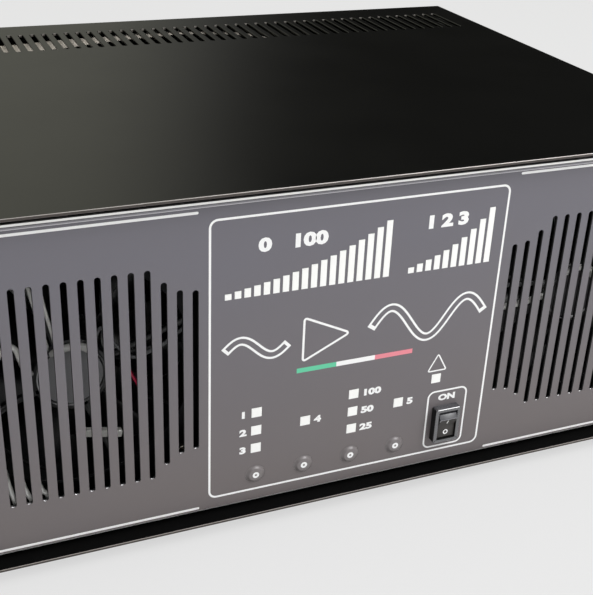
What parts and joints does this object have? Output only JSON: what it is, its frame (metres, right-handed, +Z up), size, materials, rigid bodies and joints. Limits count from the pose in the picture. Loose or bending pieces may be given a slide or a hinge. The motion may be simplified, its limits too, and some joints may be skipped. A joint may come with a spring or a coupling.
{
  "type": "hf linear amplifier",
  "caption": "Free-standing radio power amplifier: sheet-steel case, recessed front panel with fan grilles, bar displays, push buttons and a power rocker.",
  "frame": {"origin": "on the floor, under the middle of the whole object's box", "axes": "+Z up, front panel faces -Y, +X to the viewer's right when facing the front"},
  "size_m": [0.4254, 0.3372, 0.186],
  "materials": {
    "black_powder_coat": "fine satin powder coat on sheet steel",
    "black_screw": "black oxide",
    "foot_rubber": "matte moulded",
    "panel_aluminium": "bare sawn edge, brushed",
    "grey_film": "fine-textured printed polyester film",
    "clear_guide": "clear moulded",
    "circuit_board": "green solder mask",
    "nickel_hardware": "nickel plate",
    "black_plastic": "moulded nylon",
    "tinned_brass": "tinned and plain brass",
    "zinc_sheet": "zinc-plated sheet",
    "fan_plastic": "glass-filled moulding",
    "socket_insulator": "white insulator",
    "bare_aluminium": "mill finish",
    "copper": "bare copper",
    "ceramic_package": "white ceramic lid",
    "ferrite": "sintered",
    "capacitor_sleeve": "shrunk sleeve",
    "iron_powder": "painted core",
    "relay_case": "moulded cover",
    "button_grey": "fine-textured cap",
    "rocker_black": "moulded, satin gloss"
  },
  "bodies": {
    "case": {"top_cover": "black_powder_coat", "bottom_tray": "black_powder_coat", "cover_screws": "black_screw", "feet": "foot_rubber", "front_panel": "panel_aluminium", "front_film": "grey_film", "bar_light_guides": "clear_guide", "status_light_guides": "clear_guide", "display_board": "circuit_board", "display_standoffs": "nickel_hardware", "tact_switches": "black_plastic", "rocker_switch_body": "black_plastic", "rocker_terminals": "tinned_brass", "front_frame": "zinc_sheet", "panel_studs": "nickel_hardware", "panel_nuts": "nickel_hardware", "left_fan_frame": "fan_plastic", "right_fan_frame": "fan_plastic", "fan_screws": "nickel_hardware", "rear_panel": "black_powder_coat", "output_socket": "nickel_hardware", "input_socket": "nickel_hardware", "socket_contacts": "socket_insulator", "control_jacks": "nickel_hardware", "ground_stud": "tinned_brass", "wing_nut": "tinned_brass", "mains_inlet": "black_plastic", "inlet_pins": "tinned_brass", "fuse_holder": "black_plastic", "fuse_cap": "black_plastic", "supply_case": "bare_aluminium", "supply_terminals": "black_plastic", "heatsink": "bare_aluminium", "copper_spreader": "copper", "rf_board": "circuit_board", "rf_transistors": "ceramic_package", "transformer_core": "ferrite", "transformer_tubes": "copper", "reservoir_capacitors": "capacitor_sleeve", "filter_board": "circuit_board", "filter_pillars": "nickel_hardware", "filter_coils": "iron_powder", "filter_relays": "relay_case"},
    "left_fan": {"left_fan_rotor": "fan_plastic"},
    "right_fan": {"right_fan_rotor": "fan_plastic"},
    "power_rocker": {"rocker": "rocker_black"},
    "push_button_1": {"button_1": "button_grey"},
    "push_button_2": {"button_2": "button_grey"},
    "push_button_3": {"button_3": "button_grey"},
    "push_button_4": {"button_4": "button_grey"}
  },
  "joints": [
    {"name": "left_fan_spin", "type": "hinge", "parent": "case", "child": "left_fan", "pos_m": [-0.1384, -0.13176, 0.0956], "axis": [0, 1, 0], "continuous": true},
    {"name": "right_fan_spin", "type": "hinge", "parent": "case", "child": "right_fan", "pos_m": [0.1384, -0.13176, 0.0956], "axis": [0, 1, 0], "continuous": true},
    {"name": "power_rocker_tilt", "type": "hinge", "parent": "case", "child": "power_rocker", "pos_m": [0.0546, -0.16296, 0.03885], "axis": [1, 0, 0], "range_deg": [-26, 0]},
    {"name": "button_1_press", "type": "slide", "parent": "case", "child": "push_button_1", "axis": [0, 1, 0], "range_m": [0, 0.0005], "stiffness_N_per_m": 800, "springref_m": -0.0005},
    {"name": "button_2_press", "type": "slide", "parent": "case", "child": "push_button_2", "axis": [0, 1, 0], "range_m": [0, 0.0005], "stiffness_N_per_m": 800, "springref_m": -0.0005},
    {"name": "button_3_press", "type": "slide", "parent": "case", "child": "push_button_3", "axis": [0, 1, 0], "range_m": [0, 0.0005], "stiffness_N_per_m": 800, "springref_m": -0.0005},
    {"name": "button_4_press", "type": "slide", "parent": "case", "child": "push_button_4", "axis": [0, 1, 0], "range_m": [0, 0.0005], "stiffness_N_per_m": 800, "springref_m": -0.0005}
  ]
}
